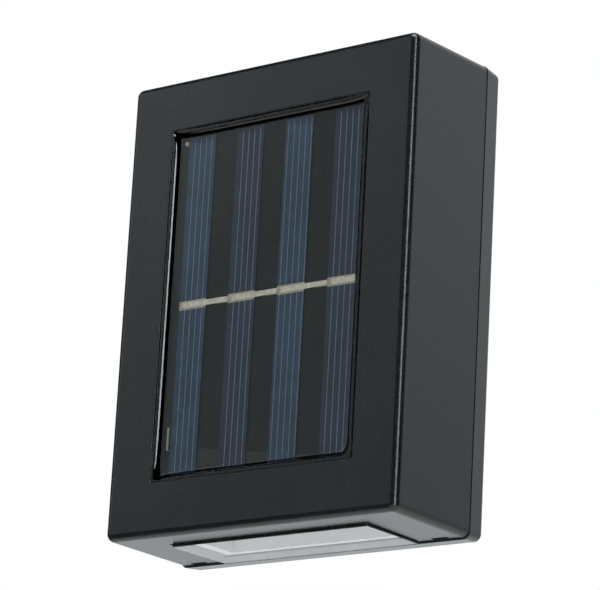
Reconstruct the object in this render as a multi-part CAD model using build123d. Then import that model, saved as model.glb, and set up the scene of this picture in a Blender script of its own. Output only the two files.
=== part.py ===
"""Solar fence light: a wall-hung box with a solar panel in its face and a lens in its underside.

Millimetres. X runs to the right as the face is seen, Y runs back to the wall, Z is up. The origin is
the middle of the flat back that rests on the fence. "Depth" below is counted from the face back
towards the wall, and "height" from the underside of the front shell up.
"""
from build123d import *
import math
import os

# ---------------------------------------------------------------- driving dimensions
# front shell
shell_width = 61.2
shell_height = 82.0
shell_depth = 20.8
shell_wall = 1.8
face_wall = 2.0
shell_corner_radius = 1.4
face_edge_radius = 1.2
side_draft = 0.05               # growth from face to back, for the mould
top_draft = 0.55
bottom_draft = 0.25
parting_gap = 0.3

# rear cover
cover_depth = 4.1
cover_side_step = 0.03          # beyond the back edge of the shell
cover_top_step = 0.05
cover_bottom_step = 0.28
cover_taper = 0.34              # of each side from the parting line to the wall
cover_corner_radius = 1.3
cover_edge_radius = 0.7
cover_plate = 2.0
cover_rim = 2.4
lip_reach = 2.2
lip_wall = 1.2
lip_corner_radius = 0.8
rim_corner_radius = 1.0
lip_clearance = 0.15

# seal between shell and cover
seal_width = 0.95
seal_rebate = 0.9
seal_fit = 0.03

# window for the panel
window_width = 42.7
window_height = 63.2
window_rise = 0.1               # centre of the window above the centre of the shell
window_corner_radius = 0.4
window_floor = 1.4
window_wall = 1.4
rim_rounding = 0.2

# panel
board_clearance = 0.2
panel_board_thickness = 1.0
bond_thickness = 0.12
cell_thickness = 0.2
cell_depth = 1.94               # from the face to the front of the cells
cell_count = 4
cell_width = 5.8
cell_end_margin = 1.3           # from the ends of the cells to the walls of the window
cell_side_margin = 2.52         # from the outer cells to the walls of the window
busbar_height = 1.6
busbar_thickness = 0.04
busbar_drop = 0.25              # centre of the busbars below the centre of the cells
ribbon_height = 0.95
ribbon_thickness = 0.08
ribbon_start = 0.9              # bare busbar to the left of each ribbon
ribbon_under = 1.5              # length of ribbon under the next cell
epoxy_flat_depth = 0.75
epoxy_edge_depth = 0.1
epoxy_edge_width = 1.1
epoxy_meniscus_radius = 0.55
epoxy_clearance = 0.03
epoxy_corner_radius = 0.8
embed_gap = 0.02                # around what the resin holds

# panel leads through the board
lead_radius = 0.55
lead_hole_radius = 0.75
lead_side_margin = 1.8          # from the left wall of the window
upper_lead_margin = 2.0         # from the upper wall of the window
lower_lead_margin = 6.0         # from the lower wall of the window
tip_radius = 0.22
tip_length = 3.9
tip_sink = 0.3                  # the end-on tip stands this far out of the board
tip_gap = 0.1                   # from a tip to the insulated lead behind it

# lens in the underside
opening_width = 42.0
opening_front = 5.8
lens_side_gap = 0.4
lens_front_gap = 0.3
lens_proud = 0.6
lens_floor = 1.2
lens_seat_gap = 0.05
lens_edge_radius = 0.2
lens_wall = 1.2
lens_rim_height = 3.8
lens_flange = 1.0
lens_flange_reach = 1.6
lens_back_clearance = 0.1
notch_width = 3.2
notch_length = 1.0
notch_centre = 25.6
drain_gap = 0.5

# reflector over the lens
reflector_side_wall = 2.0
reflector_wall = 1.2
reflector_clearance = 0.3
reflector_band_top = 3.4
reflector_height = 16.0
reflector_top_plate = 1.2
reflector_top_width = 32.8
reflector_top_depth = 9.2
peg_radius = 0.9
peg_offset = 16.2
peg_height = 0.4                # above the light board
peg_clearance = 0.1

# light source
led_board_width = 36.0
led_board_depth = 10.4
led_board_thickness = 1.0
led_count = 2
led_spacing = 17.0
led_length = 3.5
led_breadth = 2.8
led_height = 0.8
led_window_margin = 0.3
phosphor_radius = 1.15
phosphor_height = 0.15

# battery, size AAA
battery_radius = 5.25
battery_length = 43.35          # without the nub
nub_radius = 1.9
nub_length = 1.15
sleeve_thickness = 0.12
can_edge_radius = 0.5
sleeve_end = 1.0                # bare can at each end of the sleeve
battery_back_gap = 1.2
battery_fit = 0.1
saddle_offset = 12.0
saddle_thickness = 1.4
saddle_rise = 1.0               # above the top of the battery
contact_thickness = 0.3
contact_width = 9.4
contact_fit = 0.05
contact_tab_width = 2.4
contact_tab_height = 1.8
spring_length = 3.0
spring_wire = 0.5
spring_turns = 3.0
spring_base_radius = 3.6
spring_tip_radius = 2.0
bump_radius = 1.6
bump_height = 0.8
end_wall = 1.2
clamp_height = 2.3
clamp_width = 1.4
clamp_fit = 0.1
battery_rib = 1.2
battery_rib_offset = 8.0
battery_rib_reach = 4.2         # above and below the middle of the battery

# control board and what stands on it
control_width = 34.0
control_height = 26.0
control_thickness = 1.2
control_margin = 3.0            # hole centres from the board's edges
control_corner_radius = 1.0
control_rise = 4.4              # above the battery
post_radius = 2.2
post_pilot_radius = 0.7
board_hole_radius = 0.95
component_offset = 4.5          # of the chip and the inductor to the right of the centre
chip_rise = 8.0                 # above the lower edge of the board
chip_width = 4.2
chip_height = 3.2
chip_thickness = 2.0
chip_stand = 1.2
chip_leg = 0.45
chip_leg_pitch = 1.27
chip_leg_count = 3
inductor_radius = 1.5
inductor_length = 7.0
inductor_edge_radius = 0.6
inductor_stand = 0.6
inductor_drop = 5.2             # below the upper edge of the board
inductor_wire_radius = 0.3
inductor_wire_reach = 1.6

# slide switch
switch_length = 8.6
switch_breadth = 3.8
switch_depth = 3.3
switch_shell = 0.3
switch_base_depth = 1.1
switch_gap = 0.2                # from the metal shell to the cover
switch_travel = 2.0
lever_size = 2.0
lever_reach = 2.0               # out of the floor of its recess
lever_fit = 0.15
lever_edge_radius = 0.35
wiper_thickness = 0.15
wiper_length = 3.2
wiper_breadth = 2.2
wiper_gap = 0.05                # from the wiper's dimples to the base
dimple_radius = 0.4
dimple_height = 0.12
carriage_length = 3.4
carriage_breadth = 2.6
carriage_depth = 0.8
switch_recess_depth = 2.6
switch_recess_floor = 1.4
switch_recess_width = 16.0
switch_recess_height = 8.0
switch_recess_wall = 1.2
switch_recess_corner = 1.5
slot_margin = 0.3
pin_size = 0.5
pin_reach = 1.8
pin_pitch = 2.5
pin_hole_radius = 0.55

# leads; each rise is counted from the lower edge of the control board
led_lead_gap = 1.3              # from the middle of a lead to the front of the battery
led_positive_offset = 6.5       # to the left of the centre
led_positive_rise = 3.5
led_negative_offset = 3.5
led_negative_rise = 6.0
led_lead_bend = 4.0
battery_positive_rise = 8.5
battery_negative_rise = 10.5
battery_lead_landing = 11.0     # from the centre, on the board
battery_lead_bend = 4.0
battery_landing_bend = 2.4
panel_positive_depth = 11.0     # of its run along the board of the panel
panel_positive_rise = 21.0
panel_positive_landing = 12.5   # to the left of the centre, on the board
panel_positive_bend = 5.0
panel_positive_turn = 3.4
panel_positive_drop = 3.0
panel_negative_depth = 9.0
panel_negative_rise = 18.5
panel_negative_landing = 9.0
panel_negative_bend = 4.0
panel_negative_turn = 4.6
panel_negative_drop = 4.6

# hanging keyhole
keyhole_entry_radius = 3.75
keyhole_slot_radius = 2.1
keyhole_height = 68.0
keyhole_rise = 6.5
keyhole_room = 3.0              # depth behind the plate for the head of the screw
keyhole_margin = 0.85
keyhole_wall = 1.2

# screws
screw_inset = 5.15              # from the sides of the face
screw_rise = 6.2                # from the ends of the face
screw_head_radius = 2.0
screw_head_height = 1.6
screw_shank_radius = 0.84
screw_pilot_radius = 0.87
screw_clearance_radius = 1.15
screw_length = 10.0
screw_sink_depth = 4.7
screw_sink_radius = 2.3
screw_dome = 0.4                # share of the head's height that is rounded
cover_post_radius = 3.1
cover_post_depth = 2.5          # below the head of the screw
boss_radius = 2.7
boss_gap = 0.1
boss_web = 1.2
cross_width = 0.5
cross_span = 2.0
cross_depth = 0.8
board_screw_head_radius = 1.3
board_screw_head_height = 0.9
board_screw_shank_radius = 0.67
board_screw_length = 4.6

# how far fused shapes enter each other, and how far a cut runs past a surface
weld = 0.3
through = 1.0

# ---------------------------------------------------------------- places worked out from them
total_depth = shell_depth + parting_gap + cover_depth
cover_front = shell_depth + parting_gap
plate_front = total_depth - cover_plate
half_width = shell_width / 2

window_centre = shell_height / 2 + window_rise
cell_back = cell_depth + cell_thickness
board_front = cell_back + bond_thickness
window_depth = board_front + panel_board_thickness
window_back = window_depth + window_floor
cell_length = window_height - 2 * cell_end_margin
cell_pitch = (window_width - 2 * cell_side_margin - cell_width) / (cell_count - 1)
lead_column = window_width / 2 - lead_side_margin
upper_lead = window_centre + window_height / 2 - upper_lead_margin
lower_lead = window_centre - window_height / 2 + lower_lead_margin
busbar_front = cell_depth - busbar_thickness
busbar_centre = window_centre - busbar_drop

lens_width = opening_width - 2 * lens_side_gap
lens_front = opening_front + lens_front_gap
lens_back = shell_depth - lens_back_clearance
lens_top = lens_floor - lens_proud
seal_front = shell_depth - seal_rebate
lens_rim_back = seal_front - lens_back_clearance

reflector_bottom = lens_top + lens_seat_gap
reflector_width = lens_width - 2 * (lens_wall + reflector_clearance)
reflector_front = lens_front + lens_wall + reflector_clearance
reflector_back = lens_rim_back - lens_back_clearance
reflector_middle = (reflector_front + reflector_back) / 2
led_board_bottom = reflector_height + reflector_top_plate
led_board_top = led_board_bottom + led_board_thickness
clamp_bottom = led_board_top + clamp_fit
clamp_top = clamp_bottom + clamp_height

battery_height = clamp_top + battery_radius + battery_fit
battery_depth = plate_front - battery_back_gap - battery_radius
battery_front = battery_depth - battery_radius
contact_span = (battery_length + nub_length + spring_length + bump_height) / 2 + contact_thickness
battery_left = -contact_span + contact_thickness + spring_length
battery_right = battery_left + battery_length

recess_floor_depth = total_depth - switch_recess_depth
recess_back = recess_floor_depth - switch_recess_floor
switch_back = recess_back - switch_gap
control_back = switch_back - switch_depth
control_front = control_back - control_thickness
control_bottom = battery_height + battery_radius + control_rise
control_top = control_bottom + control_height
control_middle = (control_bottom + control_top) / 2
lever_rest = -switch_travel / 2

screw_x = half_width - screw_inset
screw_heights = (screw_rise, shell_height - screw_rise)
screw_seat = total_depth - screw_sink_depth
post_front = screw_seat - cover_post_depth
boss_back = post_front - boss_gap


# ---------------------------------------------------------------- helpers
def y_at(depth):
    """Y of a depth counted from the face."""
    return depth - total_depth


def z_at(height):
    """Z of a height counted from the underside of the shell."""
    return height - shell_height / 2


def half_width_at(depth):
    """Half the width of the drafted shell at a depth."""
    return half_width + side_draft * depth / shell_depth


def top_at(depth):
    """Height of the top of the drafted shell at a depth."""
    return shell_height + top_draft * depth / shell_depth


def bottom_at(depth):
    """Height of the underside of the drafted shell at a depth."""
    return -bottom_draft * depth / shell_depth


def block(x, depth, height):
    """A box between two values along each of X, depth and height."""
    size = (x[1] - x[0], depth[1] - depth[0], height[1] - height[0])
    middle = (sum(x) / 2, y_at(sum(depth) / 2), z_at(sum(height) / 2))
    return Pos(*middle) * Box(*size)


def rod(axis, radius, start, end, first, second):
    """A round rod along one axis; first and second are its place on the other two, in X, depth, height order."""
    length = end - start
    middle = (start + end) / 2
    if axis == "x":
        return Pos(middle, y_at(first), z_at(second)) * Rot(0, 90, 0) * Cylinder(radius, length)
    if axis == "depth":
        return Pos(first, y_at(middle), z_at(second)) * Rot(90, 0, 0) * Cylinder(radius, length)
    return Pos(first, y_at(second), z_at(middle)) * Cylinder(radius, length)


def face_plane(depth, height):
    """A plane across the light at a depth, looking back to the wall, with X to the right and Y down."""
    return Plane(origin=(0, y_at(depth), z_at(height)), x_dir=(1, 0, 0), z_dir=(0, 1, 0))


def slab(width, tall, corner, start, end, centre):
    """A rounded rectangle from one depth to another, centred at a height."""
    outline = face_plane(start, centre) * RectangleRounded(width, tall, corner)
    return extrude(outline, amount=end - start)


def outline_at(depth, half, bottom, top, corner):
    """A rounded rectangle across the light at a depth, from half its width and its two heights."""
    return face_plane(depth, (bottom + top) / 2) * RectangleRounded(2 * half, top - bottom, corner)


def shell_outline(inset, corner, depth):
    """The drafted outline of the shell at a depth, moved in by an inset."""
    half = half_width_at(depth) - inset
    return outline_at(depth, half, bottom_at(depth) + inset, top_at(depth) - inset, corner)


def drafted_slab(inset, corner, start, end):
    """The drafted shell, moved in by an inset, between two depths."""
    return loft([shell_outline(inset, corner, start), shell_outline(inset, corner, end)], ruled=True)


def cover_outline(inset, corner, depth):
    """The outline of the rear cover at a depth, moved in by an inset; it narrows towards the wall."""
    narrower = inset + cover_taper * (depth - cover_front) / cover_depth
    half = half_width_at(shell_depth) + cover_side_step - narrower
    bottom = bottom_at(shell_depth) - cover_bottom_step + narrower
    top = top_at(shell_depth) + cover_top_step - narrower
    return outline_at(depth, half, bottom, top, corner)


def edges_at_depth(solid, depth, reach_x=None):
    """The edges that lie in the plane at a depth, and within a distance of the middle if one is given."""
    found = solid.edges().filter_by_position(Axis.Y, y_at(depth) - 0.01, y_at(depth) + 0.01)
    if reach_x is None:
        return found
    return ShapeList([edge for edge in found if abs(edge.center().X) < reach_x])


def corners():
    """The places of the four cover screws as (x, height)."""
    return [(side * screw_x, height) for side in (-1, 1) for height in screw_heights]


def control_holes():
    """The places of the two board screws as (x, height), at opposite corners."""
    x = control_width / 2 - control_margin
    return [(-x, control_top - control_margin), (x, control_bottom + control_margin)]


def control_pegs():
    """The other two corners of the board, which rest on plain posts."""
    x = control_width / 2 - control_margin
    return [(x, control_top - control_margin), (-x, control_bottom + control_margin)]


def lead_hole(height):
    """The hole for a panel lead, through the board and the floor of the window."""
    return rod("depth", lead_hole_radius, board_front - through, window_back + through, -lead_column, height)


def lead(points, radii):
    """An insulated lead along straight runs joined by tangent arcs; points are (x, depth, height)."""
    path_points = [(x, y_at(depth), z_at(height)) for x, depth, height in points]
    path = FilletPolyline(*path_points, radius=radii)
    section = Plane(origin=path @ 0, z_dir=path % 0) * Circle(lead_radius)
    return sweep(section, path=path)


# ---------------------------------------------------------------- housing
def front_shell():
    outer = drafted_slab(0, shell_corner_radius, 0, shell_depth)
    outer = fillet(edges_at_depth(outer, 0), face_edge_radius)
    shell = outer - drafted_slab(shell_wall, shell_corner_radius / 2, face_wall, shell_depth + through)

    # pocket for the panel, with its own floor and walls
    pocket_x = window_width / 2
    pocket_h = (window_centre - window_height / 2, window_centre + window_height / 2)
    walls_x = pocket_x + window_wall
    shell += block((-walls_x, walls_x), (face_wall - weld, window_back),
                   (pocket_h[0] - window_wall, pocket_h[1] + window_wall))
    shell -= slab(window_width, window_height, window_corner_radius, -through, window_depth, window_centre)
    rim = ShapeList([edge for edge in edges_at_depth(shell, 0, pocket_x + window_wall)
                     if abs(edge.center().Z - z_at(window_centre)) < window_height / 2 + window_wall])
    shell = fillet(rim, rim_rounding)

    # screw bosses, tied to the side walls by webs
    for x, height in corners():
        side = math.copysign(1, x)
        wall_x = side * (half_width_at(face_wall) - shell_wall + weld)
        shell += block(sorted((x, wall_x)), (face_wall - weld, boss_back),
                       (height - boss_web / 2, height + boss_web / 2))
        shell += rod("depth", boss_radius, face_wall - weld, boss_back, x, height)
        pilot_end = screw_seat - screw_length - through
        shell -= rod("depth", screw_pilot_radius, pilot_end, boss_back + through, x, height)

    # ribs that keep the battery back
    for side in (-1, 1):
        x = side * battery_rib_offset
        rib_x = (x - battery_rib / 2, x + battery_rib / 2)
        rib_h = (battery_height - battery_rib_reach, battery_height + battery_rib_reach)
        shell += block(rib_x, (window_back - weld, battery_front - battery_fit), rib_h)

    # rebate for the seal, lens opening, pry notches and drain gap at the back edge
    shell -= drafted_slab(shell_wall - seal_width, shell_corner_radius, seal_front, shell_depth + through)
    shell -= block((-opening_width / 2, opening_width / 2), (opening_front, shell_depth + through),
                   (-through, shell_wall + weld))
    below = (-through, shell_wall - seal_width)
    for side in (-1, 1):
        x = side * notch_centre
        shell -= block((x - notch_width / 2, x + notch_width / 2),
                       (shell_depth - drain_gap - notch_length, shell_depth + through), below)
    drain_x = half_width - shell_corner_radius
    shell -= block((-drain_x, drain_x), (shell_depth - drain_gap, shell_depth + through), below)

    # holes for the panel leads
    for height in (upper_lead, lower_lead):
        shell -= lead_hole(height)
    return shell


def keyhole_outline():
    """The keyhole as a face-on outline: a round entry with a slot above it."""
    slot = Pos(0, -keyhole_rise / 2) * Rectangle(2 * keyhole_slot_radius, keyhole_rise)
    return Circle(keyhole_entry_radius) + slot + Pos(0, -keyhole_rise) * Circle(keyhole_slot_radius)


def rear_cover():
    cover = loft([cover_outline(0, cover_corner_radius, cover_front),
                  cover_outline(0, cover_corner_radius, total_depth)], ruled=True)
    cover = fillet(edges_at_depth(cover, total_depth), cover_edge_radius)
    hollow = cover_outline(cover_rim, rim_corner_radius, cover_front)
    cover -= extrude(hollow, amount=plate_front - cover_front)

    # lip that enters the shell, left out over the lens
    lip_front = cover_front - lip_reach
    lip_inset = shell_wall + lip_clearance
    lip_outside = shell_outline(lip_inset, lip_corner_radius, lip_front)
    lip_inside = shell_outline(lip_inset + lip_wall, lip_corner_radius / 2, lip_front)
    lip_length = plate_front + weld - lip_front
    cover += extrude(lip_outside, amount=lip_length) - extrude(lip_inside, amount=lip_length)
    flange_x = lens_width / 2 + lens_flange_reach + lens_side_gap
    cover -= block((-flange_x, flange_x), (lip_front - through, cover_front), (0, led_board_top))

    # posts for the cover screws, with the heads sunk from behind
    for x, height in corners():
        cover += rod("depth", cover_post_radius, post_front, plate_front + weld, x, height)
    for x, height in corners():
        cover -= rod("depth", screw_sink_radius, screw_seat, total_depth + through, x, height)
        cover -= rod("depth", screw_clearance_radius, post_front - through, screw_seat + through, x, height)

    # posts for the control board
    for x, height in control_holes() + control_pegs():
        cover += rod("depth", post_radius, control_back, plate_front + weld, x, height)
    for x, height in control_holes():
        cover -= rod("depth", post_pilot_radius, control_back - through, plate_front, x, height)

    # battery cradle: an end wall behind each contact and two saddles
    wall_height = (battery_height - battery_radius, battery_height + battery_radius)
    inner = contact_span + contact_fit
    for side in (-1, 1):
        cover += block(sorted((side * inner, side * (inner + end_wall))), (battery_front, plate_front + weld),
                       wall_height)
        x = side * saddle_offset
        saddle_x = (x - saddle_thickness / 2, x + saddle_thickness / 2)
        saddle_h = (clamp_top - weld, wall_height[1] + saddle_rise)
        saddle = block(saddle_x, (battery_depth, plate_front + weld), saddle_h)
        saddle -= rod("x", battery_radius + battery_fit, x - saddle_thickness, x + saddle_thickness,
                      battery_depth, battery_height)
        cover += saddle
        # finger that holds the light board down on the reflector
        finger_x = (x - clamp_width / 2, x + clamp_width / 2)
        cover += block(finger_x, (reflector_middle, plate_front + weld), (clamp_bottom, clamp_top))

    # recess and slot for the switch
    recess_x = switch_recess_width / 2
    recess_h = switch_recess_height / 2
    around = switch_recess_wall
    cover += block((-recess_x - around, recess_x + around), (recess_back, plate_front + weld),
                   (control_middle - recess_h - around, control_middle + recess_h + around))
    cover -= slab(switch_recess_width, switch_recess_height, switch_recess_corner,
                  recess_floor_depth, total_depth + through, control_middle)
    slot_x = (switch_travel + lever_size) / 2 + slot_margin
    slot_h = lever_size / 2 + slot_margin
    cover -= block((-slot_x, slot_x), (recess_back - through, recess_floor_depth + through),
                   (control_middle - slot_h, control_middle + slot_h))

    # keyhole with a closed box behind it
    room = keyhole_entry_radius + keyhole_margin
    room_x = (-room, room)
    room_h = (keyhole_height - room, keyhole_height + keyhole_rise + room)
    wall = keyhole_wall
    cover += block((room_x[0] - wall, room_x[1] + wall),
                   (plate_front - keyhole_room - wall, plate_front + weld),
                   (room_h[0] - wall, room_h[1] + wall))
    cover -= block(room_x, (plate_front - keyhole_room, plate_front), room_h)
    keyhole = face_plane(plate_front - through, keyhole_height) * keyhole_outline()
    cover -= extrude(keyhole, amount=cover_plate + 2 * through)
    return cover


def cover_seal():
    outer = shell_wall - seal_width + seal_fit
    ring = drafted_slab(outer, shell_corner_radius, seal_front + seal_fit, cover_front)
    ring -= drafted_slab(shell_wall - seal_fit, shell_corner_radius / 2, seal_front - through,
                         cover_front + through)
    return ring


def crossed_screw(head_radius, head_height, shank_radius, length, seat, x, height, direction):
    """A pan head screw whose head stands on a seat; direction 1 has the head on the wall side."""
    head_end = seat + direction * head_height
    head = rod("depth", head_radius, min(seat, head_end), max(seat, head_end), x, height)
    far = edges_at_depth(head, head_end)
    head = fillet(far, head_height * screw_dome)
    tip = seat - direction * length
    screw = head + rod("depth", shank_radius, min(seat, tip), max(seat, tip), x, height)
    floor = head_end - direction * cross_depth * head_height / screw_head_height
    outside = head_end + direction * through
    depth = (min(floor, outside), max(floor, outside))
    span = cross_span * head_radius / screw_head_radius / 2
    half = cross_width / 2
    screw -= block((x - span, x + span), depth, (height - half, height + half))
    screw -= block((x - half, x + half), depth, (height - span, height + span))
    return screw


def cover_screws():
    return [crossed_screw(screw_head_radius, screw_head_height, screw_shank_radius, screw_length,
                          screw_seat, x, height, 1) for x, height in corners()]


# ---------------------------------------------------------------- solar panel
def panel_board():
    width = window_width - 2 * board_clearance
    tall = window_height - 2 * board_clearance
    board = slab(width, tall, window_corner_radius, board_front, window_depth, window_centre)
    for height in (upper_lead, lower_lead):
        board -= lead_hole(height)
    return board


def cell_centre(index):
    return (index - (cell_count - 1) / 2) * cell_pitch


def solar_cell(index):
    x = cell_centre(index)
    return block((x - cell_width / 2, x + cell_width / 2), (cell_depth, cell_back),
                 (window_centre - cell_length / 2, window_centre + cell_length / 2))


def cell_busbars():
    bars = []
    for index in range(cell_count):
        x = cell_centre(index)
        bars.append(block((x - cell_width / 2, x + cell_width / 2), (busbar_front, cell_depth),
                          (busbar_centre - busbar_height / 2, busbar_centre + busbar_height / 2)))
    return bars


def tab_ribbon(index):
    """Ribbon on top of one cell that steps down and runs under the next; the last ends on its own cell."""
    left = cell_centre(index) - cell_width / 2 + ribbon_start
    right = cell_centre(index) + cell_width / 2
    height = (busbar_centre - ribbon_height / 2, busbar_centre + ribbon_height / 2)
    top = (busbar_front - ribbon_thickness, busbar_front)
    if index == cell_count - 1:
        return block((left, right), top, height)
    next_left = cell_centre(index + 1) - cell_width / 2
    step = ribbon_thickness
    low = (board_front - embed_gap - ribbon_thickness, board_front - embed_gap)
    middle = (right + next_left) / 2
    ribbon = block((left, middle), top, height)
    ribbon += block((middle - step / 2, middle + step / 2), (top[0], low[1]), height)
    return ribbon + block((middle, next_left + ribbon_under), low, height)


def panel_lead_tips():
    """Bare tinned ends of the panel leads on the front of the board: one end-on, one laid flat."""
    lower = lower_lead
    dot = rod("depth", 2 * tip_radius, board_front - tip_sink, window_depth - tip_gap, -lead_column, upper_lead)
    laid = rod("height", tip_radius, lower, lower + tip_length, -lead_column, board_front - tip_radius)
    laid += Pos(-lead_column, y_at(board_front - tip_radius), z_at(lower)) * Sphere(tip_radius)
    laid += rod("depth", tip_radius, board_front - tip_radius, window_depth - tip_gap, -lead_column, lower)
    return [dot, laid]


def epoxy_fill():
    """Clear resin poured over the cells, drawn up against the walls of the window."""
    width = window_width - 2 * epoxy_clearance
    tall = window_height - 2 * epoxy_clearance
    resin = slab(width, tall, window_corner_radius, epoxy_edge_depth, board_front, window_centre)
    dip = slab(width - 2 * epoxy_edge_width, tall - 2 * epoxy_edge_width, epoxy_corner_radius,
               -through, epoxy_flat_depth, window_centre)
    dip = fillet(edges_at_depth(dip, epoxy_flat_depth), epoxy_meniscus_radius)
    resin -= dip
    gap = embed_gap
    for index in range(cell_count):
        x = cell_centre(index)
        across = cell_width / 2 + gap
        along = cell_length / 2 + gap
        resin -= block((x - across, x + across), (cell_depth - gap, board_front + through),
                       (window_centre - along, window_centre + along))
    ribbon_x = (cell_centre(0) - across, cell_centre(cell_count - 1) + across)
    resin -= block(ribbon_x, (busbar_front - ribbon_thickness - gap, board_front + through),
                   (busbar_centre - busbar_height / 2 - gap, busbar_centre + busbar_height / 2 + gap))
    reach = 2 * tip_radius + gap
    resin -= rod("depth", reach, board_front - tip_sink - gap, board_front + through, -lead_column, upper_lead)
    resin -= block((-lead_column - tip_radius - gap, -lead_column + tip_radius + gap),
                   (board_front - 2 * tip_radius - gap, board_front + through),
                   (lower_lead - tip_radius - gap, lower_lead + tip_length + gap))
    return resin


# ---------------------------------------------------------------- light in the underside
def bottom_lens():
    half = lens_width / 2
    lens = block((-half, half), (lens_front, lens_back), (-lens_proud, lens_top))
    lens = fillet(lens.edges().filter_by(Axis.Z), 1.5 * lens_edge_radius)
    lens = fillet(lens.faces().sort_by(Axis.Z)[0].edges(), lens_edge_radius)
    rim = block((-half, half), (lens_front, lens_rim_back), (lens_top - weld, lens_rim_height))
    seat = bottom_wall_inside(opening_front) + lens_seat_gap
    flange = block((-half - lens_flange_reach, half + lens_flange_reach),
                   (lens_front - lens_flange_reach, lens_rim_back), (seat, seat + lens_flange))
    lens = lens + rim + flange
    inner = half - lens_wall
    return lens - block((-inner, inner), (lens_front + lens_wall, lens_back),
                        (lens_top, lens_rim_height + through))


def bottom_wall_inside(depth):
    """Height of the inside of the shell's drafted bottom wall at a depth."""
    return shell_wall + bottom_at(depth)


def reflector():
    """White box that flares from the light board down to the lens."""
    front = reflector_front
    back = reflector_back
    half = reflector_width / 2
    middle = reflector_middle
    inner_front = front + reflector_wall
    inner_back = back - reflector_wall
    inner_half = half - reflector_side_wall

    def level(width, depth_range, height):
        plane = Plane(origin=(0, y_at(sum(depth_range) / 2), z_at(height)))
        return plane * Rectangle(width, depth_range[1] - depth_range[0])

    top_half = reflector_top_depth / 2
    outer_top = level(reflector_top_width, (middle - top_half, middle + top_half), reflector_height)
    inner_top_half = top_half - reflector_wall
    inner_top = level(reflector_top_width - 2 * reflector_wall,
                      (middle - inner_top_half, middle + inner_top_half), reflector_height)
    body = block((-half, half), (front, back), (reflector_bottom, reflector_band_top))
    body += loft([level(2 * half, (front, back), reflector_band_top), outer_top])
    body -= block((-inner_half, inner_half), (inner_front, inner_back),
                  (reflector_bottom - through, reflector_band_top))
    body -= loft([level(2 * inner_half, (inner_front, inner_back), reflector_band_top), inner_top])
    plate_half = led_board_depth / 2
    body += block((-led_board_width / 2, led_board_width / 2), (middle - plate_half, middle + plate_half),
                  (reflector_height, led_board_bottom))
    for x in led_places():
        reach_x = led_length / 2 + led_window_margin
        reach_d = led_breadth / 2 + led_window_margin
        body -= block((x - reach_x, x + reach_x), (middle - reach_d, middle + reach_d),
                      (reflector_height - through, led_board_bottom + through))
    for side in (-1, 1):
        body += rod("height", peg_radius, led_board_bottom - weld, led_board_top + peg_height,
                    side * peg_offset, middle)
    return body


def led_places():
    return [(index - (led_count - 1) / 2) * led_spacing for index in range(led_count)]


def led_board():
    depth_half = led_board_depth / 2
    depth = (reflector_middle - depth_half, reflector_middle + depth_half)
    board = block((-led_board_width / 2, led_board_width / 2), depth, (led_board_bottom, led_board_top))
    for side in (-1, 1):
        board -= rod("height", peg_radius + peg_clearance, led_board_bottom - through,
                     led_board_top + through, side * peg_offset, reflector_middle)
    return board


def led_package(index):
    x = led_places()[index]
    bottom = led_board_bottom - led_height
    package = block((x - led_length / 2, x + led_length / 2),
                    (reflector_middle - led_breadth / 2, reflector_middle + led_breadth / 2),
                    (bottom, led_board_bottom))
    return package - rod("height", phosphor_radius, bottom - through, bottom + phosphor_height, x,
                         reflector_middle)


def led_phosphor(index):
    bottom = led_board_bottom - led_height
    return rod("height", phosphor_radius - embed_gap, bottom + embed_gap, bottom + phosphor_height,
               led_places()[index], reflector_middle)


# ---------------------------------------------------------------- battery
def battery_can():
    radius = battery_radius - sleeve_thickness
    can = rod("x", radius, battery_left, battery_right, battery_depth, battery_height)
    can = fillet(can.edges().filter_by(GeomType.CIRCLE), can_edge_radius)
    nub = rod("x", nub_radius, battery_right - weld, battery_right + nub_length, battery_depth,
              battery_height)
    return can + nub


def battery_sleeve():
    left = battery_left + sleeve_end
    right = battery_right - sleeve_end
    inner = battery_radius - sleeve_thickness
    sleeve = rod("x", battery_radius, left, right, battery_depth, battery_height)
    return sleeve - rod("x", inner, left - through, right + through, battery_depth, battery_height)


def contact_plate(side):
    """Spring steel plate against an end wall of the cradle, with a solder tab above it."""
    x = sorted((side * contact_span, side * (contact_span - contact_thickness)))
    half = contact_width / 2
    front = battery_depth - half
    top = battery_height + half
    plate = block(x, (front, battery_depth + half), (battery_height - half, top))
    return plate + block(x, (front, front + contact_tab_width), (top - weld, top + contact_tab_height))


def positive_contact():
    plate = contact_plate(1)
    face = contact_span - contact_thickness
    cone = Pos(face - bump_height / 2, y_at(battery_depth), z_at(battery_height)) * Rot(0, -90, 0)
    return plate + cone * Cone(bump_radius, bump_radius / 2, bump_height)


def battery_spring():
    """Conical coil that presses the can against the positive contact."""
    start_x = -contact_span + contact_thickness + spring_wire / 2 + embed_gap
    rise = spring_length - spring_wire - 2 * embed_gap
    cone_angle = -math.degrees(math.atan((spring_base_radius - spring_tip_radius) / rise))
    coil = Helix(pitch=rise / spring_turns, height=rise, radius=spring_base_radius, cone_angle=cone_angle)
    start = coil @ 0
    section = Plane(origin=start, z_dir=coil % 0) * Circle(spring_wire / 2)
    spring = sweep(section, path=coil, is_frenet=True)
    return Pos(start_x, y_at(battery_depth), z_at(battery_height)) * Rot(0, 90, 0) * spring


# ---------------------------------------------------------------- electronics
def control_board():
    half = control_width / 2
    board = block((-half, half), (control_front, control_back), (control_bottom, control_top))
    board = fillet(board.edges().filter_by(Axis.Y), control_corner_radius)
    for x, height in control_holes():
        board -= rod("depth", board_hole_radius, control_front - through, control_back + through, x, height)
    for x in pin_places():
        board -= rod("depth", pin_hole_radius, control_front - through, control_back + through, x,
                     control_middle)
    return board


def board_screws():
    return [crossed_screw(board_screw_head_radius, board_screw_head_height, board_screw_shank_radius,
                          board_screw_length, control_front, x, height, -1) for x, height in control_holes()]


def pin_places():
    return [(-1 + index) * pin_pitch for index in range(3)]


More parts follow.
